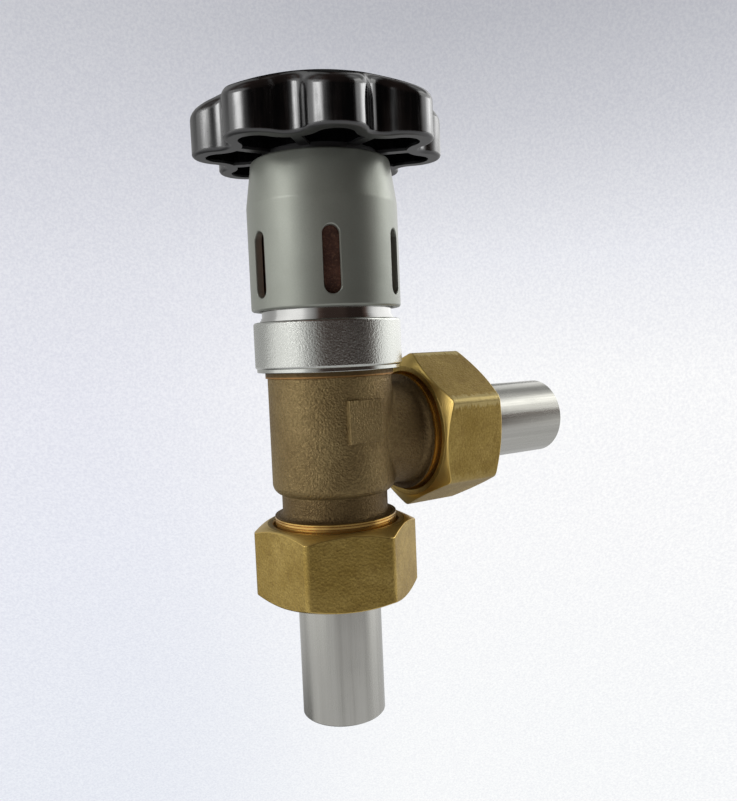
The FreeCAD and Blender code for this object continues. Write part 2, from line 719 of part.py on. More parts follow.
def dome_edges(solid, radius):
    """Edges where upright walls meet a dome of the given radius about the dome's centre."""
    found = []
    for edge in solid.Edges:
        middle = edge.valueAt((edge.FirstParameter + edge.LastParameter) / 2)
        ends = [vertex.Point for vertex in edge.Vertexes] + [middle]
        if all(abs(end.distanceToPoint(point(0, 0, DOME_CENTRE)) - radius) < 1e-3 for end in ends):
            found.append(edge)
    return found


def domed_block(inset):
    """Lobed block under a spherical top, the inset inside the wheel's outer surface."""
    block = prism(lobed_face(inset), RIM_BOTTOM, WHEEL_TOP)
    return block.common(Part.makeSphere(WHEEL_DOME_RADIUS - inset, point(0, 0, DOME_CENTRE)))


def ribs():
    """Upright webs from the hub to the wall, one behind each hollow of the outline."""
    reach = VALLEY_FLOOR - WHEEL_WALL / 2
    webs = []
    for number in range(LOBE_COUNT):
        web = Part.makeBox(reach, RIB_THICKNESS, WHEEL_HEIGHT)
        web.translate(point(0, -RIB_THICKNESS / 2, RIM_BOTTOM))
        turn = LOBE_TURN + (number + 0.5) * 360 / LOBE_COUNT
        web.rotate(point(0, 0, 0), point(0, 0, 1), turn)
        webs.append(web)
    return webs


def handwheel():
    """Hollow lobed knob, domed on top and open below, with a ribbed hub and a recess for its cap."""
    outside = domed_block(0)
    outside = outside.makeFillet(WHEEL_SHOULDER, dome_edges(outside, WHEEL_DOME_RADIUS))
    outside = outside.makeFillet(WHEEL_RIM_ROUNDING, edges_at(outside, RIM_BOTTOM))
    room = domed_block(WHEEL_WALL)
    shoulder = dome_edges(room, WHEEL_DOME_RADIUS - WHEEL_WALL)
    shell = outside.cut(room.makeChamfer(WHEEL_INNER_SHOULDER, shoulder))
    hub = disc(HUB_OD, SKIRT_TOP, WHEEL_TOP)
    spigot = disc(HUB_SPIGOT_OD, SKIRT_LID_BOTTOM, SKIRT_TOP + 1)
    under_dome = Part.makeSphere(WHEEL_DOME_RADIUS - WHEEL_WALL / 2, point(0, 0, DOME_CENTRE))
    core = hub.fuse([spigot] + ribs()).common(under_dome)
    recesses = [
        disc(INSERT_OD + 2 * SEATED_PLAY, SKIRT_LID_BOTTOM - 1, WHEEL_TOP),
        disc(CAP_OD + 2 * SEATED_PLAY, CAP_SEAT, WHEEL_TOP + 1),
    ]
    return shell.fuse(core).cut(recesses)


def hub_insert():
    """Brass bush in the hub with a square hole and a flange under the skirt's lid."""
    solid = turned([
        (0, INSERT_BOTTOM),
        (INSERT_FLANGE_OD / 2, INSERT_BOTTOM),
        (INSERT_FLANGE_OD / 2, SKIRT_LID_BOTTOM),
        (INSERT_OD / 2, SKIRT_LID_BOTTOM),
        (INSERT_OD / 2, INSERT_TOP),
        (0, INSERT_TOP),
    ])
    side = SPINDLE_SQUARE + 2 * SEATED_PLAY
    hole = Part.makeBox(side, side, WHEEL_TOP - INSERT_BOTTOM)
    hole.translate(point(-side / 2, -side / 2, INSERT_BOTTOM))
    return solid.cut(hole.common(disc(SPINDLE_OD, INSERT_BOTTOM, WHEEL_TOP)))


def wheel_washer():
    return washer(WHEEL_WASHER_OD, WHEEL_SCREW_OD + 2 * SEATED_PLAY, INSERT_TOP, WASHER_TOP)


def wheel_screw():
    head = disc(WHEEL_SCREW_HEAD_OD, WASHER_TOP, CAP_SEAT - SEATED_PLAY)
    shank = disc(WHEEL_SCREW_OD, WASHER_TOP - WHEEL_SCREW_LENGTH, WASHER_TOP + 1)
    slot_width = WHEEL_SCREW_HEAD_OD / 8
    slot_floor = CAP_SEAT - WHEEL_SCREW_HEAD_HEIGHT / 2
    slot_box = Part.makeBox(WHEEL_SCREW_HEAD_OD, slot_width, WHEEL_SCREW_HEAD_HEIGHT)
    slot_box.translate(point(-WHEEL_SCREW_HEAD_OD / 2, -slot_width / 2, slot_floor))
    return head.fuse(shank).cut(slot_box)


def wheel_cap():
    solid = disc(CAP_OD, CAP_SEAT, CAP_TOP)
    return solid.makeFillet(CAP_LIP, rims(solid, CAP_OD, CAP_TOP))


def pieces():
    lower_ring, upper_ring = stem_ring_levels()
    return {
        "valve_body": valve_body(),
        "seat_ring": seat_ring(),
        "inlet_union_nut": to_inlet(lifted(union_nut(INLET_NUT_TURN), INLET_FACE - NUT_OVERLAP)),
        "outlet_union_nut": to_outlet(lifted(union_nut(OUTLET_NUT_TURN), OUTLET_FACE - NUT_OVERLAP)),
        "inlet_gasket": to_inlet(lifted(gasket(), INLET_FACE)),
        "outlet_gasket": to_outlet(lifted(gasket(), OUTLET_FACE)),
        "inlet_tail": to_inlet(lifted(tail(), INLET_FACE + GASKET_THICKNESS)),
        "outlet_tail": to_outlet(lifted(tail(), OUTLET_FACE + GASKET_THICKNESS)),
        "plug": plug(),
        "plug_seal": plug_seal(),
        "plug_washer": plug_washer(),
        "plug_screw": plug_screw(),
        "swivel_clip": swivel_clip(),
        "spindle": spindle(),
        "bonnet": bonnet(),
        "bonnet_o_ring": bonnet_o_ring(),
        "lower_stem_o_ring": stem_o_ring(lower_ring),
        "upper_stem_o_ring": stem_o_ring(upper_ring),
        "stem_packing": stem_packing(),
        "gland_follower": gland_follower(),
        "gland_nut": gland_nut(),
        "coupling_ring": coupling_ring(),
        "neck_collar": neck_collar(),
        "scale_tube": scale_tube(),
        "scale_tube_clip": scale_tube_clip(),
        "skirt": skirt(),
        "handwheel": handwheel(),
        "hub_insert": hub_insert(),
        "wheel_washer": wheel_washer(),
        "wheel_screw": wheel_screw(),
        "wheel_cap": wheel_cap(),
    }


os.makedirs("parts", exist_ok=True)
for name, shape in pieces().items():
    shape.exportStep("parts/" + name + ".step")
    print(name, "valid", shape.isValid(), "solids", len(shape.Solids), "volume", round(shape.Volume, 1))
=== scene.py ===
import bpy
import math
from mathutils import Matrix, Vector


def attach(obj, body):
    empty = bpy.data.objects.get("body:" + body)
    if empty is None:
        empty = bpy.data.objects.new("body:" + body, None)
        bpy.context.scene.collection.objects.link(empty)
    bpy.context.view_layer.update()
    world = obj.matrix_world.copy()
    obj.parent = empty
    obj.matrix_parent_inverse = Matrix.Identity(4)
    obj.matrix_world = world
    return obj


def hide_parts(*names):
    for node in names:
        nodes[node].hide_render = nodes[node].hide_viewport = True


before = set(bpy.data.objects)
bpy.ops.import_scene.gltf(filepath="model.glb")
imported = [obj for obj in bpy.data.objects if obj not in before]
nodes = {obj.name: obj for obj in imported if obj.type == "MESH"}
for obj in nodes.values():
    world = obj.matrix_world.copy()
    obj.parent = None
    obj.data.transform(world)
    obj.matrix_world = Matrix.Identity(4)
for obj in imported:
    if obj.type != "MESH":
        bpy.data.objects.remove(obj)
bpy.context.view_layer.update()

# Lengths in metres and angles in degrees, as in the valve's drawing
CROSSING = 0.071
BARREL_TOP = 0.0887
BAND_HEIGHT = 0.0015
INLET_MOUTH = 0.0502
OUTLET_MOUTH = 0.0228
INLET_SHOULDER = 0.05205
OUTLET_SHOULDER = 0.02125
SHOULDER_EDGE = 0.0002
NECK_TOP = 0.0577

NUT_ACROSS_FLATS = 0.037
NUT_LENGTH = 0.0188
NUT_FACE = 0.0178
NUT_FRONT_CHAMFER = 0.0019
NUT_REAR_CHAMFER = 0.0015
NUT_EDGE = 0.0011
NUT_THREAD = 0.01593
NUT_MOUTH = 0.01623
NUT_MOUTH_DEPTH = 0.0009
NUT_SHOULDER = 0.0150
NUT_HOLE = 0.0113
NUT_HOLE_ROUNDING = 0.0008
NUT_BURR = 0.0001
NUT_SIDES = 192
NUT_WORN = 0.0203
NUT_CORNER = NUT_ACROSS_FLATS / math.sqrt(3)
NUT_REAR = 0.0182

RING_OUTER = 0.01855
RING_THREAD = 0.01503
RING_THREAD_TOP = 0.0961
RING_ROOM = 0.0152
RING_ROOM_TOP = 0.0990
RING_HOLE = 0.0124
RING_STEP = 0.01815
RING_STEP_TOP = 0.0896
RING_TOP = 0.1011
RING_LIP = 0.0005
RING_SHOULDER = 0.0006
RING_BURR = 0.00012
TURNED_SIDES = 240
LIP_STEPS = 5

SKIRT_BOTTOM = 0.1038
SKIRT_TOP = 0.1402
SKIRT_LID = 0.1378
SKIRT_TAPER = 0.1292
SKIRT_OUTER = 0.0188
SKIRT_WALL = 0.0019
SKIRT_TOP_OUTER = 0.01725
SKIRT_HOLE = 0.01293
RIM_BOTTOM = 0.1413
SLOT_BOTTOM = 0.1067
SLOT_LENGTH = 0.0157
SLOT_WIDTH = 0.0041
SLOT_TURN = 4.4
SLOT_COUNT = 6
SKIRT_LIP = 0.0007
SKIRT_EASE = 0.0002

# Rim of a slot: how far it starts under the skirt's face, then steps outwards and how much each widens
SLOT_RIM = 0.00042
SLOT_FLARE = ((0.00016, 0.00003), (0.00013, 0.00009), (0.0001, 0.00017), (0.0006, 0.0009))

# Studio: height of the valve's middle, the floor, the paper's radius, and how dim levels turn warm
MIDDLE_HEIGHT = 0.08
FLOOR = -0.12
PAPER_RADIUS = 1.6
WARM_BELOW = 0.2
WARM_GREEN_LOSS = 0.32
WARM_BLUE_LOSS = 0.42

# Direction from the valve to the camera, seen from above
CAMERA_TURN = math.radians(-121.09)

# Camera: its place in metres, its own directions, and its focal length in dots of the picture
CAMERA_PLACE = (-0.10264, -0.17022, 0.09448)
CAMERA_RIGHT = (0.82793, -0.55928, -0.04169)
CAMERA_DOWN = (-0.07399, -0.03523, -0.99664)
CAMERA_AHEAD = (0.55593, 0.82823, -0.07055)
FOCAL_DOTS = 779.66
PICTURE_WIDTH = 737
SENSOR_WIDTH = 36.0


def srgb(red, green, blue):
    """Colour from screen values of 0 to 255."""
    def linear(value):
        value = value / 255
        return value / 12.92 if value <= 0.04045 else ((value + 0.055) / 1.055) ** 2.4
    return (linear(red), linear(green), linear(blue), 1.0)


def new_material(name):
    """Empty material with one main shader."""
    material = bpy.data.materials.new(name)
    material.use_nodes = True
    tree = material.node_tree
    tree.nodes.clear()
    output = tree.nodes.new("ShaderNodeOutputMaterial")
    shader = tree.nodes.new("ShaderNodeBsdfPrincipled")
    tree.links.new(shader.outputs["BSDF"], output.inputs["Surface"])
    return material, tree, shader


def object_place(tree):
    return tree.nodes.new("ShaderNodeTexCoord").outputs["Object"]


def stretched(tree, place, scale):
    """Place with each axis scaled, so that a pattern on it is drawn out along the small ones."""
    mapping = tree.nodes.new("ShaderNodeMapping")
    mapping.inputs["Scale"].default_value = scale
    tree.links.new(place, mapping.inputs["Vector"])
    return mapping.outputs["Vector"]


def noise(tree, place, scale, detail, roughness, distortion=0.0):
    """Cloudy pattern; a higher scale makes it finer."""
    node = tree.nodes.new("ShaderNodeTexNoise")
    node.inputs["Scale"].default_value = scale
    node.inputs["Detail"].default_value = detail
    node.inputs["Roughness"].default_value = roughness
    node.inputs["Distortion"].default_value = distortion
    tree.links.new(place, node.inputs["Vector"])
    return node.outputs["Fac"]


def pebbles(tree, place, scale, smoothness):
    """Pattern of small round dents side by side."""
    node = tree.nodes.new("ShaderNodeTexVoronoi")
    node.feature = "SMOOTH_F1"
    node.inputs["Scale"].default_value = scale
    node.inputs["Smoothness"].default_value = smoothness
    tree.links.new(place, node.inputs["Vector"])
    return node.outputs["Distance"]


def calculate(tree, operation, first, second=None, third=None):
    """Sum, product or other operation on values or plain numbers."""
    node = tree.nodes.new("ShaderNodeMath")
    node.operation = operation
    for socket, value in zip(node.inputs, (first, second, third)):
        if value is None:
            continue
        if isinstance(value, (int, float)):
            socket.default_value = value
        else:
            tree.links.new(value, socket)
    return node.outputs["Value"]


def times(tree, first, second):
    return calculate(tree, "MULTIPLY", first, second)


def spread(tree, value, low, high, to_low=0.0, to_high=1.0, smooth=False):
    """Carry a value from one range to another, held at the ends."""
    node = tree.nodes.new("ShaderNodeMapRange")
    node.interpolation_type = "SMOOTHSTEP" if smooth else "LINEAR"
    node.inputs["From Min"].default_value = low
    node.inputs["From Max"].default_value = high
    node.inputs["To Min"].default_value = to_low
    node.inputs["To Max"].default_value = to_high
    tree.links.new(value, node.inputs["Value"])
    return node.outputs["Result"]


def window(tree, value, low, high, edge):
    """One between two limits and nothing outside them, with soft edges."""
    rise = spread(tree, value, low - edge, low + edge, smooth=True)
    fall = spread(tree, value, high - edge, high + edge, 1.0, 0.0, smooth=True)
    return times(tree, rise, fall)


def colour_mix(tree, share, first, second, mode="MIX"):
    """The first colour with a share of the second laid over it."""
    node = tree.nodes.new("ShaderNodeMix")
    node.data_type = "RGBA"
    node.blend_type = mode
    for socket, value in ((node.inputs[0], share), (node.inputs[6], first), (node.inputs[7], second)):
        if isinstance(value, (int, float, tuple)):
            socket.default_value = value
        else:
            tree.links.new(value, socket)
    return node.outputs[2]


def split_place(tree, place):
    node = tree.nodes.new("ShaderNodeSeparateXYZ")
    tree.links.new(place, node.inputs["Vector"])
    return node.outputs["X"], node.outputs["Y"], node.outputs["Z"]


def distance_from_axis(tree, first, second):
    """Distance from the axis that both offsets are square to."""
    first_square = calculate(tree, "POWER", first, 2.0)
    second_square = calculate(tree, "POWER", second, 2.0)
    squares = calculate(tree, "ADD", first_square, second_square)
    return calculate(tree, "SQRT", squares)


def number_mix(tree, share, first, second):
    """Number a share of the way from the first to the second."""
    node = tree.nodes.new("ShaderNodeMix")
    node.data_type = "FLOAT"
    for socket, value in ((node.inputs[0], share), (node.inputs[2], first), (node.inputs[3], second)):
        if isinstance(value, (int, float)):
            socket.default_value = value
        else:
            tree.links.new(value, socket)
    return node.outputs[0]


def pattern_place(tree, first, second):
    """Place on a flat pattern from two distances."""
    node = tree.nodes.new("ShaderNodeCombineXYZ")
    tree.links.new(first, node.inputs["X"])
    tree.links.new(second, node.inputs["Y"])
    return node.outputs["Vector"]


def relief(tree, shader, height, depth, strength):
    """Fine grain of the surface, with its depth in metres."""
    bump = tree.nodes.new("ShaderNodeBump")
    bump.inputs["Strength"].default_value = strength
    bump.inputs["Distance"].default_value = depth
    tree.links.new(height, bump.inputs["Height"])
    tree.links.new(bump.outputs["Normal"], shader.inputs["Normal"])


def colour_ramp(tree, share, stops):
    """Colours along a share of the way from the first stop's level to the last one's."""
    low, high = stops[0][0], stops[-1][0]
    node = tree.nodes.new("ShaderNodeValToRGB")
    tree.links.new(share, node.inputs["Fac"])
    elements = node.color_ramp.elements
    while len(elements) < len(stops):
        elements.new(0.5)
    for element, (level, colour) in zip(elements, stops):
        element.position = (level - low) / (high - low)
        element.color = srgb(*colour)
    return node.outputs["Color"]


def level_ramp(tree, share, stops, warmth=1.0):
    """Light levels by degrees to the right of the camera; the dimmest ones can be a little warm."""
    node = tree.nodes.new("ShaderNodeValToRGB")
    tree.links.new(share, node.inputs["Fac"])
    elements = node.color_ramp.elements
    while len(elements) < len(stops):
        elements.new(0.5)
    for element, (degrees, level) in zip(elements, stops):
        element.position = (degrees + 180) / 360
        warm = warmth if level < WARM_BELOW else 0.0
        green = level * (1 - WARM_GREEN_LOSS * warm)
        blue = level * (1 - WARM_BLUE_LOSS * warm)
        element.color = (level, green, blue, 1.0)
    return node.outputs["Color"]


def sand_cast_bronze():
    """Body casting: sand skin, smoother band under the ring, turned shoulders by the nuts; painted
    shade on branch side, neck and band.
    """
    material, tree, shader = new_material("sand cast bronze")
    place = object_place(tree)
    x, _, z = split_place(tree, place)
    sand = noise(tree, place, 2900, 2.0, 0.55)
    grit = noise(tree, place, 1350, 3.0, 0.6)
    clouds = noise(tree, place, 75, 4.0, 0.6)
    stains = noise(tree, place, 240, 3.0, 0.65)
    band = window(tree, z, BARREL_TOP - BAND_HEIGHT, BARREL_TOP + 0.01, 0.0001)
    inlet_shoulder = spread(tree, z, INLET_SHOULDER + SHOULDER_EDGE, INLET_SHOULDER)
    outlet_shoulder = spread(tree, x, OUTLET_SHOULDER - SHOULDER_EDGE, OUTLET_SHOULDER)
    shoulders = calculate(tree, "MAXIMUM", inlet_shoulder, outlet_shoulder)
    machined = calculate(tree, "MAXIMUM", shoulders, times(tree, band, 0.7))
    cast = calculate(tree, "SUBTRACT", 1.0, machined)
    skin = colour_mix(tree, spread(tree, clouds, 0.35, 0.65), srgb(137, 117, 79), srgb(157, 137, 95))
    skin = colour_mix(tree, spread(tree, stains, 0.52, 0.75, 0.0, 0.2), skin, srgb(112, 86, 58))
    skin = colour_mix(tree, spread(tree, grit, 0.36, 0.6, 0.28, 0.0), skin, srgb(84, 68, 42))
    # Painted shade: the side towards the outlet branch is darkened, standing in for the shade of the
    # branch and nuts.
    painted_branch_shade = times(tree, spread(tree, x, -0.001, 0.0165, smooth=True), 0.4)
    skin = colour_mix(tree, painted_branch_shade, skin, srgb(86, 62, 42))
    # Painted shade: the neck between the barrel and the inlet nut is darkened.
    neck = times(tree, spread(tree, z, NECK_TOP + 0.0004, NECK_TOP - 0.0005, smooth=True), 0.55)
    skin = colour_mix(tree, neck, skin, srgb(88, 68, 44))
    # Painted shade: the band just under the coupling ring is darkened; its smoother finish is real.
    skin = colour_mix(tree, times(tree, band, 0.75), skin, srgb(78, 60, 38))
    band_foot = BARREL_TOP - BAND_HEIGHT
    edge = window(tree, z, band_foot, band_foot + 0.0004, 0.00008)
    skin = colour_mix(tree, times(tree, edge, 0.5), skin, srgb(200, 150, 92))
    skin = colour_mix(tree, shoulders, skin, srgb(206, 168, 96))
    tree.links.new(skin, shader.inputs["Base Color"])
    shader.inputs["Metallic"].default_value = 0.9
    rough = spread(tree, grit, 0.3, 0.7, 0.62, 0.46)
    rough = number_mix(tree, shoulders, rough, 0.2)
    tree.links.new(rough, shader.inputs["Roughness"])
    peel = pebbles(tree, place, 2000, 0.7)
    height = calculate(tree, "MULTIPLY_ADD", sand, 0.6, times(tree, grit, 0.3))
    height = calculate(tree, "MULTIPLY_ADD", peel, 0.85, height)
    height = times(tree, height, cast)
    relief(tree, shader, height, 0.00022, 0.85)
    return material


def nut_brass(name, along, mouth, wear):
    """Hot-pressed brass: peened flats, turned chamfers and mouth, edges polished by the spanner."""
    material, tree, shader = new_material(name)
    place = object_place(tree)
    x, y, z = split_place(tree, place)
    if along == "z":
        from_mouth = calculate(tree, "SUBTRACT", mouth, z)
        radius = distance_from_axis(tree, x, y)
    else:
        from_mouth = calculate(tree, "SUBTRACT", x, mouth)
        radius = distance_from_axis(tree, y, calculate(tree, "SUBTRACT", z, CROSSING))
    front_slope = NUT_FRONT_CHAMFER / (NUT_CORNER - NUT_FACE)
    rear_slope = NUT_REAR_CHAMFER / (NUT_CORNER - NUT_REAR)
    front_cone = times(tree, calculate(tree, "SUBTRACT", radius, NUT_FACE), front_slope)
    rear_cone = times(tree, calculate(tree, "SUBTRACT", radius, NUT_REAR), rear_slope)
    past_front = calculate(tree, "SUBTRACT", from_mouth, front_cone)
    from_rear = calculate(tree, "SUBTRACT", NUT_LENGTH, from_mouth)
    past_rear = calculate(tree, "SUBTRACT", from_rear, rear_cone)
    nearest = calculate(tree, "MINIMUM", past_front, past_rear)
    turned = spread(tree, nearest, 0.00008, 0.00016, 1.0, 0.0)
    dents = pebbles(tree, place, 1400, 0.5)
    grain = noise(tree, place, 2100, 3.0, 0.6)
    clouds = noise(tree, place, 110, 3.0, 0.55)
    blotches = noise(tree, place, 420, 2.0, 0.5)
    across_edges = (1.0, 1.0, 0.25) if along == "z" else (1.0, 0.25, 0.25)
    ticks = noise(tree, stretched(tree, place, across_edges), 1500, 1.0, 0.5)
    ragged = calculate(tree, "MULTIPLY_ADD", calculate(tree, "SUBTRACT", ticks, 0.5), 0.0014, radius)
    worn = spread(tree, ragged, NUT_WORN, NUT_WORN + 0.0005, 0.0, wear, smooth=True)
    worn = times(tree, worn, spread(tree, z, CROSSING - 0.001, CROSSING + 0.003, 0.2, 1.0))
    worn = times(tree, worn, spread(tree, y, 0.006, 0.0, 0.2, 1.0))
    flats = colour_mix(tree, spread(tree, clouds, 0.35, 0.65), srgb(170, 144, 76), srgb(191, 165, 95))
    flats = colour_mix(tree, spread(tree, grain, 0.35, 0.6, 0.34, 0.0), flats, srgb(120, 92, 43))
    flats = colour_mix(tree, spread(tree, blotches, 0.5, 0.7, 0.0, 0.3), flats, srgb(134, 106, 54))
    colour = colour_mix(tree, times(tree, worn, 0.6), flats, srgb(226, 208, 148))
    colour = colour_mix(tree, turned, colour, srgb(222, 191, 112))
    tree.links.new(colour, shader.inputs["Base Color"])
    tree.links.new(number_mix(tree, turned, 0.96, 0.92), shader.inputs["Metallic"])
    rough = number_mix(tree, worn, spread(tree, grain, 0.3, 0.7, 0.5, 0.4), 0.4)
    rough = number_mix(tree, turned, rough, 0.31)
    tree.links.new(rough, shader.inputs["Roughness"])
    peened = calculate(tree, "MULTIPLY_ADD", grain, 0.6, times(tree, dents, 0.5))
    smoothed = calculate(tree, "MAXIMUM", turned, times(tree, worn, 0.5))
    rough_left = calculate(tree, "SUBTRACT", 1.0, smoothed)
    rings = noise(tree, pattern_place(tree, radius, from_mouth), 9000, 1.0, 0.5)
    height = times(tree, peened, rough_left)
    height = calculate(tree, "MULTIPLY_ADD", times(tree, rings, turned), 0.12, height)
    relief(tree, shader, height, 0.00013, 0.8)
    return material


def drawn_steel(name, along):
    """Stainless tube with fine draw lines and broader bands along its length."""
    material, tree, shader = new_material(name)
    place = object_place(tree)
    stretch = [1.0, 1.0, 1.0]
    stretch[along] = 0.012
    lined = stretched(tree, place, tuple(stretch))
    lines = noise(tree, lined, 3200, 3.0, 0.65)
    bands = noise(tree, lined, 520, 2.0, 0.5)
    clouds = noise(tree, place, 130, 3.0, 0.6)
    colour = colour_mix(tree, spread(tree, bands, 0.3, 0.7), srgb(190, 189, 182), srgb(208, 207, 200))
    colour = colour_mix(tree, spread(tree, lines, 0.55, 0.75, 0.0, 0.22), colour, srgb(156, 153, 147))
    tree.links.new(colour, shader.inputs["Base Color"])
    shader.inputs["Metallic"].default_value = 1.0
    drawn = spread(tree, lines, 0.3, 0.7, 0.19, 0.27)
    handled = spread(tree, clouds, 0.3, 0.7, -0.02, 0.04)
    rough = calculate(tree, "ADD", drawn, handled)
    tree.links.new(rough, shader.inputs["Roughness"])
    height = calculate(tree, "MULTIPLY_ADD", lines, 0.5, bands)
    relief(tree, shader, height, 0.00003, 0.6)
    return material


def grained_nickel():
    """Plated ring whose skin keeps the fine grain of the blasting under the plating."""
    material, tree, shader = new_material("grained nickel")
    place = object_place(tree)
    x, y, z = split_place(tree, place)
    radius = distance_from_axis(tree, x, y)
    grained = window(tree, z, RING_STEP_TOP + RING_LIP, RING_TOP - 0.0005, 0.0001)
    grained = calculate(tree, "MAXIMUM", grained, spread(tree, radius, 0.0181, 0.0179))
    dimples = pebbles(tree, place, 2500, 0.9)
    fine = noise(tree, place, 4000, 2.0, 0.5)
    shade = colour_mix(tree, spread(tree, fine, 0.3, 0.7), srgb(196, 198, 192), srgb(212, 213, 208))
    tree.links.new(shade, shader.inputs["Base Color"])
    shader.inputs["Metallic"].default_value = 1.0
    rough = number_mix(tree, grained, 0.16, spread(tree, fine, 0.3, 0.7, 0.22, 0.3))
    tree.links.new(rough, shader.inputs["Roughness"])
    height = calculate(tree, "MULTIPLY_ADD", dimples, 0.8, times(tree, fine, 0.3))
    height = times(tree, height, grained)
    relief(tree, shader, height, 0.00007, 0.8)
    return material


def turned_metal(name, colour_low, colour_high, rough):
    """Lathe-turned metal with fine rings across the upright axis."""
    material, tree, shader = new_material(name)
    place = object_place(tree)
    rings = noise(tree, stretched(tree, place, (0.02, 0.02, 1.0)), 9000, 2.0, 0.5)
    clouds = noise(tree, place, 150, 2.0, 0.5)
    shade = colour_mix(tree, spread(tree, clouds, 0.3, 0.7), colour_low, colour_high)
    tree.links.new(shade, shader.inputs["Base Color"])
    shader.inputs["Metallic"].default_value = 1.0
    tree.links.new(spread(tree, rings, 0.3, 0.7, rough, rough + 0.08), shader.inputs["Roughness"])
    relief(tree, shader, rings, 0.00001, 0.5)
    return material


def scale_tube_skin():
    """Dark reddish tube behind the slots, with a coarse grain."""
    material, tree, shader = new_material("dark red scale tube")
    place = object_place(tree)
    grit = noise(tree, place, 1900, 3.0, 0.6)
    clouds = noise(tree, place, 300, 2.0, 0.6)
    shade = colour_mix(tree, spread(tree, clouds, 0.35, 0.65), srgb(88, 58, 48), srgb(112, 76, 62))
    shade = colour_mix(tree, spread(tree, grit, 0.5, 0.75, 0.0, 0.6), shade, srgb(166, 126, 104))
    tree.links.new(shade, shader.inputs["Base Color"])
    tree.links.new(spread(tree, grit, 0.3, 0.7, 0.5, 0.35), shader.inputs["Roughness"])
    shader.inputs["Metallic"].default_value = 0.35
    relief(tree, shader, grit, 0.00018, 0.8)
    return material


def black_moulding(name):
    """Polished black thermoset with smears, dust and rubbed streaks, duller on its lower lip."""
    material, tree, shader = new_material(name)
    place = object_place(tree)
    smears = noise(tree, place, 130, 4.0, 0.6, 0.4)
    dust = noise(tree, place, 2500, 2.0, 0.6)
    shade = colour_mix(tree, spread(tree, smears, 0.3, 0.7), srgb(4, 4, 5), srgb(8, 8, 8))
    tree.links.new(shade, shader.inputs["Base Color"])
    rubbed = noise(tree, stretched(tree, place, (1.0, 1.0, 0.05)), 1300, 2.0, 0.6)
    handled = spread(tree, smears, 0.35, 0.65, 0.1, 0.15)
    dusty = spread(tree, dust, 0.5, 0.8, 0.0, 0.04)
    rough = calculate(tree, "ADD", handled, dusty)
    rough = calculate(tree, "ADD", rough, spread(tree, rubbed, 0.45, 0.7, 0.0, 0.12))
    height = split_place(tree, place)[2]
    lower_lip = spread(tree, height, RIM_BOTTOM + 0.0009, RIM_BOTTOM + 0.0005, smooth=True)
    rough = number_mix(tree, lower_lip, rough, 0.42)
    tree.links.new(rough, shader.inputs["Roughness"])
    shader.inputs["IOR"].default_value = 2.0
    waves = noise(tree, place, 200, 1.0, 0.4)
    relief(tree, shader, waves, 0.0001, 0.25)
    return material


def grey_moulding():
    """Satin grey plastic of the skirt, with faint clouds and a fine grain."""
    material, tree, shader = new_material("satin grey moulding")
    place = object_place(tree)
    clouds = noise(tree, place, 80, 3.0, 0.55)
    fine = noise(tree, place, 2800, 2.0, 0.6)
    shade = colour_mix(tree, spread(tree, clouds, 0.3, 0.7), srgb(140, 143, 134), srgb(150, 153, 144))
    shade = colour_mix(tree, spread(tree, fine, 0.35, 0.65, 0.0, 0.3), shade, srgb(134, 137, 130))
    tree.links.new(shade, shader.inputs["Base Color"])
    shader.inputs["Metallic"].default_value = 0.62
    tree.links.new(spread(tree, fine, 0.3, 0.7, 0.31, 0.37), shader.inputs["Roughness"])
    relief(tree, shader, fine, 0.000025, 0.5)
    return material


def dull(name, first, second, rough, scale=900):
    """Rubber, fibre and plastic seals."""
    material, tree, shader = new_material(name)
    place = object_place(tree)
    fine = noise(tree, place, scale, 3.0, 0.6)
    shade = colour_mix(tree, spread(tree, fine, 0.3, 0.7), first, second)
    tree.links.new(shade, shader.inputs["Base Color"])
    tree.links.new(spread(tree, fine, 0.3, 0.7, rough - 0.05, rough + 0.08), shader.inputs["Roughness"])
    relief(tree, shader, fine, 0.00004, 0.4)
    return material


def clear_selection():
    bpy.ops.object.select_all(action="DESELECT")


def take(piece):
    """Select this piece alone."""
    clear_selection()
    piece.select_set(True)
    bpy.context.view_layer.objects.active = piece


def settle(piece):
    """Put the piece's place, turn and size into its mesh."""
    take(piece)
    bpy.ops.object.transform_apply(location=True, rotation=True, scale=True)


def start_editing():
    bpy.ops.object.mode_set(mode="EDIT")


def leave_editing():
    bpy.ops.object.mode_set(mode="OBJECT")


def ready_to_pick(piece, picks="VERT"):
    """Clear what is picked on the piece, so that code can pick corners, edges or faces by place."""
    take(piece)
    start_editing()
    bpy.ops.mesh.select_mode(type=picks)
    bpy.ops.mesh.select_all(action="DESELECT")
    leave_editing()


def turned_ring(name, corners, sides):
    """Ring drawn from a circle through (radius, height) corners and closed on itself."""
    clear_selection()
    radius, height = corners[0]
    bpy.ops.mesh.primitive_circle_add(vertices=sides, radius=radius, location=(0, 0, height))
    ring = bpy.context.active_object
    ring.name = name
    settle(ring)
    start_editing()
    bpy.ops.mesh.select_mode(type="VERT")
    bpy.ops.mesh.select_all(action="SELECT")
    for next_radius, next_height in corners[1:] + corners[:1]:
        rise = next_height - height
        bpy.ops.mesh.extrude_region_move(TRANSFORM_OT_translate={"value": (0, 0, rise)})
        share = next_radius / radius
        bpy.ops.transform.resize(value=(share, share, 1), center_override=(0, 0, next_height))
        radius, height = next_radius, next_height
    bpy.ops.mesh.select_all(action="SELECT")
    bpy.ops.mesh.remove_doubles(threshold=0.000005)
    bpy.ops.mesh.normals_make_consistent(inside=False)
    leave_editing()
    return ring


def combine(piece, tool, operation):
    """Cut the piece with the tool, or keep what they share, and put the tool away."""
    take(piece)
    step = piece.modifiers.new("cut", "BOOLEAN")
    step.operation = operation
    step.solver = "EXACT"
    step.object = tool
    bpy.ops.object.modifier_apply(modifier=step.name)
    bpy.data.objects.remove(tool)


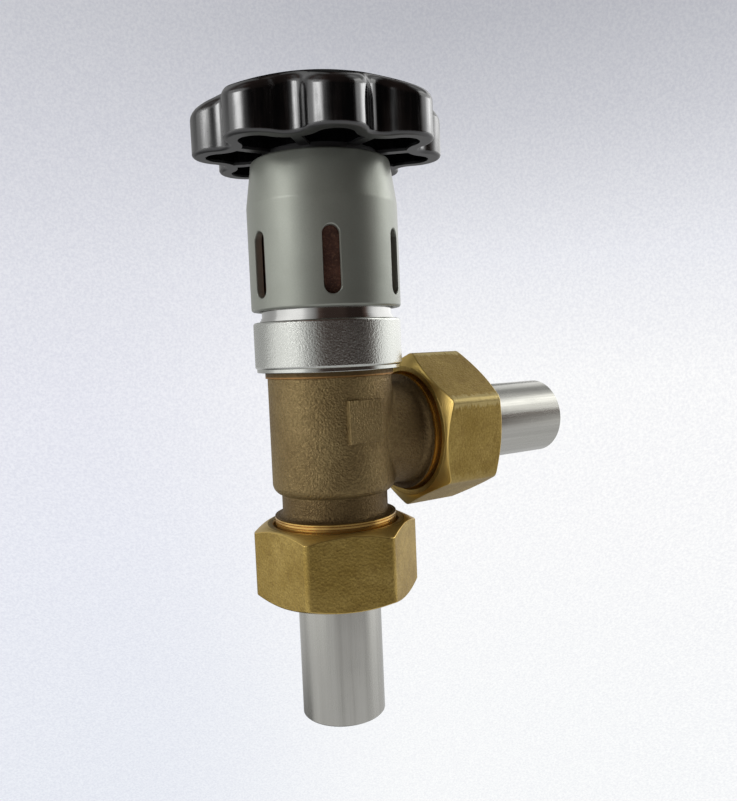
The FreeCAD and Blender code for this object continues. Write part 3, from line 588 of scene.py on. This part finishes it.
def soften(piece, width, steps, angle):
    """Bevel every edge sharper than the angle and shade the rest smooth."""
    take(piece)
    edges = piece.modifiers.new("edges", "BEVEL")
    edges.width = width
    edges.segments = steps
    edges.limit_method = "ANGLE"
    edges.angle_limit = math.radians(angle)
    edges.use_clamp_overlap = False
    edges.harden_normals = False
    bpy.ops.object.modifier_apply(modifier=edges.name)
    smooth(piece)


def smooth(piece):
    take(piece)
    bpy.ops.object.shade_smooth_by_angle(angle=math.radians(32))
    even = piece.modifiers.new("even", "WEIGHTED_NORMAL")
    even.keep_sharp = True
    bpy.ops.object.modifier_apply(modifier=even.name)


def hexagon_bar(turn):
    """Six-sided bar along Z with its long edges rounded over."""
    clear_selection()
    bpy.ops.mesh.primitive_cylinder_add(vertices=6, radius=NUT_CORNER, depth=NUT_LENGTH * 1.5,
                                        location=(0, 0, NUT_LENGTH / 2),
                                        rotation=(0, 0, math.radians(turn)))
    bar = bpy.context.active_object
    settle(bar)
    ready_to_pick(bar, "EDGE")
    for edge in bar.data.edges:
        low, high = (bar.data.vertices[end].co for end in edge.vertices)
        edge.select = abs(low.z - high.z) > NUT_LENGTH
    start_editing()
    bpy.ops.mesh.bevel(offset=NUT_EDGE, segments=6, affect="EDGES")
    leave_editing()
    return bar


def union_nut(name, turn):
    """Union nut with its mouth at height 0: hexagon bar turned to cones at both ends and bored."""
    nut = turned_ring(name, [
        (NUT_MOUTH, 0.0),
        (NUT_FACE, 0.0),
        (NUT_CORNER + NUT_BURR, NUT_FRONT_CHAMFER),
        (NUT_CORNER + NUT_BURR, NUT_LENGTH - NUT_REAR_CHAMFER),
        (NUT_REAR, NUT_LENGTH),
        (NUT_HOLE + NUT_BURR, NUT_LENGTH),
        (NUT_HOLE, NUT_LENGTH - NUT_BURR),
        (NUT_HOLE, NUT_SHOULDER + NUT_HOLE_ROUNDING),
        (NUT_HOLE + NUT_HOLE_ROUNDING, NUT_SHOULDER),
        (NUT_THREAD, NUT_SHOULDER),
        (NUT_THREAD, NUT_MOUTH_DEPTH),
    ], NUT_SIDES)
    combine(nut, hexagon_bar(turn), "INTERSECT")
    ready_to_pick(nut)
    start_editing()
    bpy.ops.mesh.select_all(action="SELECT")
    bpy.ops.mesh.remove_doubles(threshold=0.00003)
    leave_editing()
    soften(nut, 0.00014, 2, 34)
    return nut


def inlet_nut():
    nut = union_nut("inlet_nut", -8.5)
    nut.rotation_euler = (math.pi, 0, 0)
    nut.location = (0, 0, INLET_MOUTH)
    settle(nut)
    nut.data.materials.append(nut_brass("brass of the inlet nut", "z", INLET_MOUTH, 0.2))
    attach(nut, "valve")
    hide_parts("inlet_union_nut")


def outlet_nut():
    nut = union_nut("outlet_nut", -23.6)
    nut.rotation_euler = (0, math.pi / 2, 0)
    nut.location = (OUTLET_MOUTH, 0, CROSSING)
    settle(nut)
    nut.data.materials.append(nut_brass("brass of the outlet nut", "x", OUTLET_MOUTH, 1.0))
    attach(nut, "valve")
    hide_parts("outlet_union_nut")


def slot_cutter(turn):
    """Upright obround bar that flares at the skirt's outer face, so that it leaves a rounded rim."""
    half = SLOT_WIDTH / 2
    inner = SKIRT_OUTER - 2 * SKIRT_WALL
    straight_end = SKIRT_OUTER - SLOT_RIM
    clear_selection()
    bpy.ops.mesh.primitive_cylinder_add(vertices=48, radius=half, depth=straight_end - inner,
                                        location=((straight_end + inner) / 2, 0, SLOT_BOTTOM + half),
                                        rotation=(0, math.pi / 2, 0))
    bar = bpy.context.active_object
    settle(bar)
    ready_to_pick(bar)
    for vertex in bar.data.vertices:
        vertex.select = vertex.co.z > SLOT_BOTTOM + half + 0.00001
    start_editing()
    bpy.ops.transform.translate(value=(0, 0, SLOT_LENGTH - SLOT_WIDTH))
    leave_editing()
    ready_to_pick(bar, "FACE")
    for face in bar.data.polygons:
        face.select = face.normal.x > 0.9
    start_editing()
    middle = SLOT_BOTTOM + SLOT_LENGTH / 2
    width, height, reach = SLOT_WIDTH, SLOT_LENGTH, straight_end
    for step, gain in SLOT_FLARE:
        bpy.ops.mesh.extrude_region_move(TRANSFORM_OT_translate={"value": (step, 0, 0)})
        wider, higher = width + 2 * gain, height + 2 * gain
        reach = reach + step
        bpy.ops.transform.resize(value=(1, wider / width, higher / height),
                                 center_override=(reach, 0, middle))
        width, height = wider, higher
    leave_editing()
    bar.rotation_euler = (0, 0, math.radians(turn))
    settle(bar)
    return bar


def lip(centre_radius, centre_height, radius, start, end):
    """Corners along a rounded lip, from one angle to another in degrees."""
    corners = []
    for step in range(LIP_STEPS + 1):
        angle = math.radians(start + (end - start) * step / LIP_STEPS)
        corners.append((centre_radius + radius * math.cos(angle),
                        centre_height + radius * math.sin(angle)))
    return corners


def coupling_ring():
    """Round coupling ring with a polished lower lip above its step and a rounded upper shoulder."""
    corners = [
        (RING_THREAD, BARREL_TOP),
        (RING_STEP - RING_BURR, BARREL_TOP),
        (RING_STEP, BARREL_TOP + RING_BURR),
    ]
    corners += lip(RING_OUTER - RING_LIP, RING_STEP_TOP + RING_LIP, RING_LIP, -78, 0)
    corners += lip(RING_OUTER - RING_SHOULDER, RING_TOP - RING_SHOULDER, RING_SHOULDER, 0, 90)
    corners += [
        (RING_HOLE, RING_TOP),
        (RING_HOLE, RING_ROOM_TOP),
        (RING_ROOM, RING_ROOM_TOP),
        (RING_ROOM, RING_THREAD_TOP),
        (RING_THREAD, RING_THREAD_TOP),
    ]
    ring = turned_ring("grained_coupling_ring", corners, TURNED_SIDES)
    smooth(ring)
    ring.data.materials.append(grained_nickel())
    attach(ring, "valve")
    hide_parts("coupling_ring")


def slotted_skirt():
    """Skirt with its rounded slots, drawn from one circle."""
    inner = SKIRT_OUTER - SKIRT_WALL
    share = (SKIRT_LID - SKIRT_TAPER) / (SKIRT_TOP - SKIRT_TAPER)
    under_lid = inner + (SKIRT_TOP_OUTER - SKIRT_OUTER) * share
    corners = [(inner + SKIRT_EASE, SKIRT_BOTTOM)]
    corners += lip(SKIRT_OUTER - SKIRT_LIP, SKIRT_BOTTOM + SKIRT_LIP, SKIRT_LIP, -90, 0)
    corners += [
        (SKIRT_OUTER, SKIRT_TAPER - 0.0004),
        (SKIRT_OUTER - 0.00001, SKIRT_TAPER),
        (SKIRT_OUTER - 0.00006, SKIRT_TAPER + 0.0005),
    ]
    corners += lip(SKIRT_TOP_OUTER - 0.0006, SKIRT_TOP - SKIRT_LIP, SKIRT_LIP, 8, 90)
    corners += [
        (SKIRT_HOLE, SKIRT_TOP),
        (SKIRT_HOLE, SKIRT_LID),
        (under_lid, SKIRT_LID),
        (inner, SKIRT_TAPER),
        (inner, SKIRT_BOTTOM + SKIRT_EASE),
    ]
    skirt = turned_ring("slotted_skirt", corners, TURNED_SIDES)
    for number in range(SLOT_COUNT):
        combine(skirt, slot_cutter(SLOT_TURN + number * 360 / SLOT_COUNT), "DIFFERENCE")
    smooth(skirt)
    skirt.data.materials.append(grey_moulding())
    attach(skirt, "spindle")
    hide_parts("skirt")


def paint(node_name, material):
    for place in nodes[node_name].material_slots:
        place.material = material


def finish_nodes():
    """Give each piece that stays as drawn the finish of the real one."""
    steel_pin = turned_metal("turned steel", srgb(176, 176, 174), srgb(198, 198, 195), 0.22)
    turned_brass = turned_metal("turned brass", srgb(186, 152, 78), srgb(206, 172, 98), 0.22)
    polished = turned_metal("polished neck", srgb(206, 206, 203), srgb(218, 218, 215), 0.07)
    rubber = dull("black rubber", srgb(22, 22, 22), srgb(34, 34, 34), 0.6)
    white_seal = dull("white seal", srgb(214, 212, 204), srgb(228, 226, 218), 0.5)
    fibre = dull("green fibre gasket", srgb(58, 86, 72), srgb(74, 102, 86), 0.7, 500)
    paint("valve_body", sand_cast_bronze())
    paint("inlet_union_nut", turned_brass)
    paint("outlet_union_nut", turned_brass)
    paint("skirt", grey_moulding())
    paint("inlet_tail", drawn_steel("drawn steel inlet tube", 2))
    paint("outlet_tail", drawn_steel("drawn steel outlet tube", 0))
    paint("coupling_ring", grained_nickel())
    paint("scale_tube", scale_tube_skin())
    paint("neck_collar", polished)
    paint("handwheel", black_moulding("polished black moulding"))
    paint("wheel_cap", black_moulding("polished black cap"))
    for name in ("spindle", "plug_washer", "plug_screw", "swivel_clip", "seat_ring", "scale_tube_clip",
                 "wheel_screw", "wheel_washer"):
        paint(name, steel_pin)
    for name in ("bonnet", "gland_follower", "gland_nut", "plug", "hub_insert"):
        paint(name, turned_brass)
    for name in ("bonnet_o_ring", "lower_stem_o_ring", "upper_stem_o_ring"):
        paint(name, rubber)
    for name in ("stem_packing", "plug_seal"):
        paint(name, white_seal)
    for name in ("inlet_gasket", "outlet_gasket"):
        paint(name, fibre)


def backdrop():
    """Seamless pale paper that rises from the floor all round, with painted shading: darker towards the
    top, behind the wheel.
    """
    clear_selection()
    bpy.ops.mesh.primitive_uv_sphere_add(segments=96, ring_count=48, radius=PAPER_RADIUS,
                                         location=(0, 0, MIDDLE_HEIGHT))
    paper = bpy.context.active_object
    paper.name = "studio_paper"
    settle(paper)
    ready_to_pick(paper)
    for vertex in paper.data.vertices:
        vertex.select = vertex.co.z < FLOOR
    start_editing()
    bpy.ops.transform.resize(value=(1, 1, 0), center_override=(0, 0, FLOOR))
    bpy.ops.mesh.select_all(action="SELECT")
    bpy.ops.mesh.normals_make_consistent(inside=True)
    leave_editing()
    bpy.ops.object.shade_smooth()
    paper.visible_diffuse = False
    paper.visible_glossy = False
    paper.visible_shadow = False
    material, tree, shader = new_material("grained pale paper")
    place = object_place(tree)
    offset = tree.nodes.new("ShaderNodeVectorMath")
    offset.operation = "SUBTRACT"
    tree.links.new(place, offset.inputs[0])
    offset.inputs[1].default_value = (0, 0, MIDDLE_HEIGHT)
    unit = tree.nodes.new("ShaderNodeVectorMath")
    unit.operation = "NORMALIZE"
    tree.links.new(offset.outputs["Vector"], unit.inputs[0])
    height = split_place(tree, unit.outputs["Vector"])[2]
    across = tree.nodes.new("ShaderNodeVectorMath")
    across.operation = "DOT_PRODUCT"
    tree.links.new(unit.outputs["Vector"], across.inputs[0])
    across.inputs[1].default_value = (CAMERA_RIGHT[0], CAMERA_RIGHT[1], 0)
    sideways = spread(tree, across.outputs["Value"], -0.42, 0.12, smooth=True)
    # Painted shading: the paper darkens towards the top, and its right half is brighter low down and
    # darker high up than the left.
    paper_shading_left = colour_ramp(tree, spread(tree, height, -0.6, 0.6), [
        (-0.6, (238, 241, 248)), (-0.25, (238, 240, 248)), (-0.05, (236, 237, 245)),
        (0.12, (230, 231, 238)), (0.3, (215, 216, 223)), (0.42, (205, 206, 212)),
        (0.6, (195, 196, 201))])
    paper_shading_right = colour_ramp(tree, spread(tree, height, -0.6, 0.6), [
        (-0.6, (254, 255, 255)), (-0.25, (255, 255, 255)), (-0.05, (255, 255, 255)),
        (0.12, (239, 240, 245)), (0.3, (208, 209, 215)), (0.42, (190, 191, 197)),
        (0.6, (180, 181, 187))])
    shade = colour_mix(tree, sideways, paper_shading_left, paper_shading_right)
    speck = noise(tree, unit.outputs["Vector"], 300, 2.0, 0.7)
    specks = spread(tree, speck, 0.35, 0.65, 0.0, 0.3)
    shade = colour_mix(tree, specks, shade, srgb(206, 208, 220), "MULTIPLY")
    emission = tree.nodes.new("ShaderNodeEmission")
    tree.links.new(shade, emission.inputs["Color"])
    surface = shader.outputs["BSDF"].links[0].to_socket
    tree.links.new(emission.outputs["Emission"], surface)
    tree.nodes.remove(shader)
    paper.data.materials.append(material)


def studio():
    """Room seen in the metal: pale walls, two bright softboxes above them, dim ceiling, pale table."""
    world = bpy.data.worlds.new("studio")
    bpy.context.scene.world = world
    world.use_nodes = True
    tree = world.node_tree
    tree.nodes.clear()
    output = tree.nodes.new("ShaderNodeOutputWorld")
    shade = tree.nodes.new("ShaderNodeBackground")
    x, y, z = split_place(tree, tree.nodes.new("ShaderNodeTexCoord").outputs["Generated"])
    around = calculate(tree, "SUBTRACT", calculate(tree, "ARCTAN2", y, x), CAMERA_TURN)
    turn = calculate(tree, "WRAP", around, math.pi, -math.pi)
    share = spread(tree, turn, -math.pi, math.pi)
    lower_walls = level_ramp(tree, share, [
        (-180, 0.55), (-112, 0.55), (-107, 1.2), (-42, 1.2), (-36, 0.5), (-18, 0.4),
        (-13, 0.06), (74, 0.06), (80, 0.7), (88, 1.4), (126, 1.4), (140, 0.66), (157, 0.62),
        (166, 0.6), (180, 0.5)])
    walls = level_ramp(tree, share, [
        (-180, 0.3), (-168, 0.48), (-112, 0.4), (-100, 0.48), (-95, 0.85), (-84, 0.95),
        (-70, 1.12), (-54, 1.2), (-43, 1.12), (-37, 0.75), (-31, 0.5), (-22, 0.27),
        (-13, 0.07), (-4, 0.035), (28, 0.035), (38, 0.02), (64, 0.02), (72, 0.1), (79, 0.42),
        (88, 0.85), (104, 1.15), (125, 1.32), (157, 1.3), (168, 0.9), (180, 0.3)])
    upper_walls = level_ramp(tree, share, [
        (-180, 0.3), (-168, 0.5), (-112, 0.56), (-100, 0.66), (-95, 0.9), (-84, 0.96),
        (-70, 0.84), (-54, 0.66), (-43, 0.54), (-37, 0.46), (-31, 0.4), (-22, 0.3),
        (-13, 0.13), (-4, 0.06), (28, 0.05), (38, 0.03), (64, 0.02), (72, 0.08), (79, 0.14),
        (88, 0.55), (98, 1.5), (110, 2.2), (125, 2.0), (157, 1.3), (180, 0.3)])
    softboxes = level_ramp(tree, share, [
        (-180, 0.05), (-165, 0.3), (-127, 0.5), (-112, 0.42), (-102, 0.32), (-95, 0.8),
        (-86, 1.1), (-77, 1.5), (-70, 5.4), (-63, 6.8), (-54, 6.8), (-48, 5.6), (-43, 3.4),
        (-38, 0.9), (-33, 0.3), (-19, 0.02), (-8, 0.008), (4, 0.004), (66, 0.004), (72, 0.03),
        (77, 0.8), (84, 1.3), (92, 1.5), (98, 2.4), (106, 5.0), (118, 5.0), (132, 2.6),
        (148, 1.2), (165, 0.3), (180, 0.05)], 0.0)
    ceiling = level_ramp(tree, share, [
        (-180, 0.06), (-172, 0.2), (-160, 0.35), (-140, 0.5), (-126, 0.6), (-104, 0.3),
        (-90, 0.16), (-66, 0.32), (-40, 0.16), (-20, 0.06), (60, 0.04), (80, 0.3), (100, 0.8),
        (124, 0.36), (138, 0.32), (148, 0.7), (160, 0.8), (170, 0.15), (180, 0.06)])
    zenith = level_ramp(tree, share, [
        (-180, 0.04), (-168, 0.06), (-152, 0.35), (-120, 0.3), (-90, 0.08), (90, 0.06),
        (120, 0.2), (160, 0.12), (180, 0.04)])
    colour = colour_mix(tree, spread(tree, z, -0.09, -0.03, smooth=True), lower_walls, walls)
    colour = colour_mix(tree, window(tree, z, 0.1, 0.28, 0.03), colour, upper_walls)
    colour = colour_mix(tree, window(tree, z, 0.252, 0.36, 0.012), colour, softboxes)
    colour = colour_mix(tree, spread(tree, z, 0.5, 0.6, smooth=True), colour, ceiling)
    panel = window(tree, turn, math.radians(77), math.radians(112), 0.06)
    lower_panel = times(tree, panel, window(tree, z, 0.34, 0.5, 0.03))
    colour = colour_mix(tree, lower_panel, colour, (1.35, 1.35, 1.33, 1.0))
    upper_panel = times(tree, panel, window(tree, z, 0.5, 0.66, 0.03))
    colour = colour_mix(tree, upper_panel, colour, (1.9, 1.9, 1.87, 1.0))
    colour = colour_mix(tree, spread(tree, z, 0.87, 0.94, smooth=True), colour, zenith)
    far_side = spread(tree, calculate(tree, "ABSOLUTE", turn), 2.74, 2.9, smooth=True)
    far_side = times(tree, far_side, window(tree, z, 0.33, 0.9, 0.05))
    colour = colour_mix(tree, far_side, colour, (0.02, 0.02, 0.02, 1.0))
    behind = calculate(tree, "ABSOLUTE", calculate(tree, "SUBTRACT", turn, 0.6))
    behind = times(tree, spread(tree, behind, 2.2, 2.45, smooth=True),
                   spread(tree, z, -0.36, -0.46))
    table = colour_mix(tree, behind, (0.57, 0.57, 0.58, 1.0), (0.08, 0.08, 0.08, 1.0))
    colour = colour_mix(tree, spread(tree, z, -0.1, -0.42, smooth=True), colour, table)
    tree.links.new(colour, shade.inputs["Color"])
    tree.links.new(shade.outputs["Background"], output.inputs["Surface"])


def round_camera(turn, distance, height):
    """Place at a turn in degrees to the right of the camera's own direction, seen from the valve."""
    angle = CAMERA_TURN + math.radians(turn)
    return (distance * math.cos(angle), distance * math.sin(angle), height)


def lamp(name, place, width, height, power):
    light = bpy.data.lights.new(name, "AREA")
    light.shape = "RECTANGLE"
    light.size = width
    light.size_y = height
    light.energy = power
    thing = bpy.data.objects.new(name, light)
    bpy.context.scene.collection.objects.link(thing)
    thing.location = place
    aim = Vector((0, 0, MIDDLE_HEIGHT)) - Vector(place)
    thing.rotation_euler = aim.to_track_quat("-Z", "Y").to_euler()
    thing.visible_camera = False
    thing.visible_glossy = False


def lamps():
    lamp("left softbox", round_camera(-60, 0.75, 0.2), 0.4, 0.6, 4.0)
    lamp("right softbox", round_camera(112, 0.8, 0.2), 0.4, 0.6, 1.6)


def camera():
    data = bpy.data.cameras.new("camera")
    data.sensor_fit = "HORIZONTAL"
    data.sensor_width = SENSOR_WIDTH
    data.lens = FOCAL_DOTS / PICTURE_WIDTH * SENSOR_WIDTH
    data.clip_start = 0.01
    data.clip_end = 10
    thing = bpy.data.objects.new("camera", data)
    bpy.context.scene.collection.objects.link(thing)
    turn = Matrix((CAMERA_RIGHT, -Vector(CAMERA_DOWN), -Vector(CAMERA_AHEAD))).transposed().to_4x4()
    thing.matrix_world = Matrix.Translation(CAMERA_PLACE) @ turn
    bpy.context.scene.camera = thing


finish_nodes()
inlet_nut()
outlet_nut()
coupling_ring()
slotted_skirt()
backdrop()
studio()
lamps()
camera()

bpy.context.scene.view_settings.view_transform = "Standard"
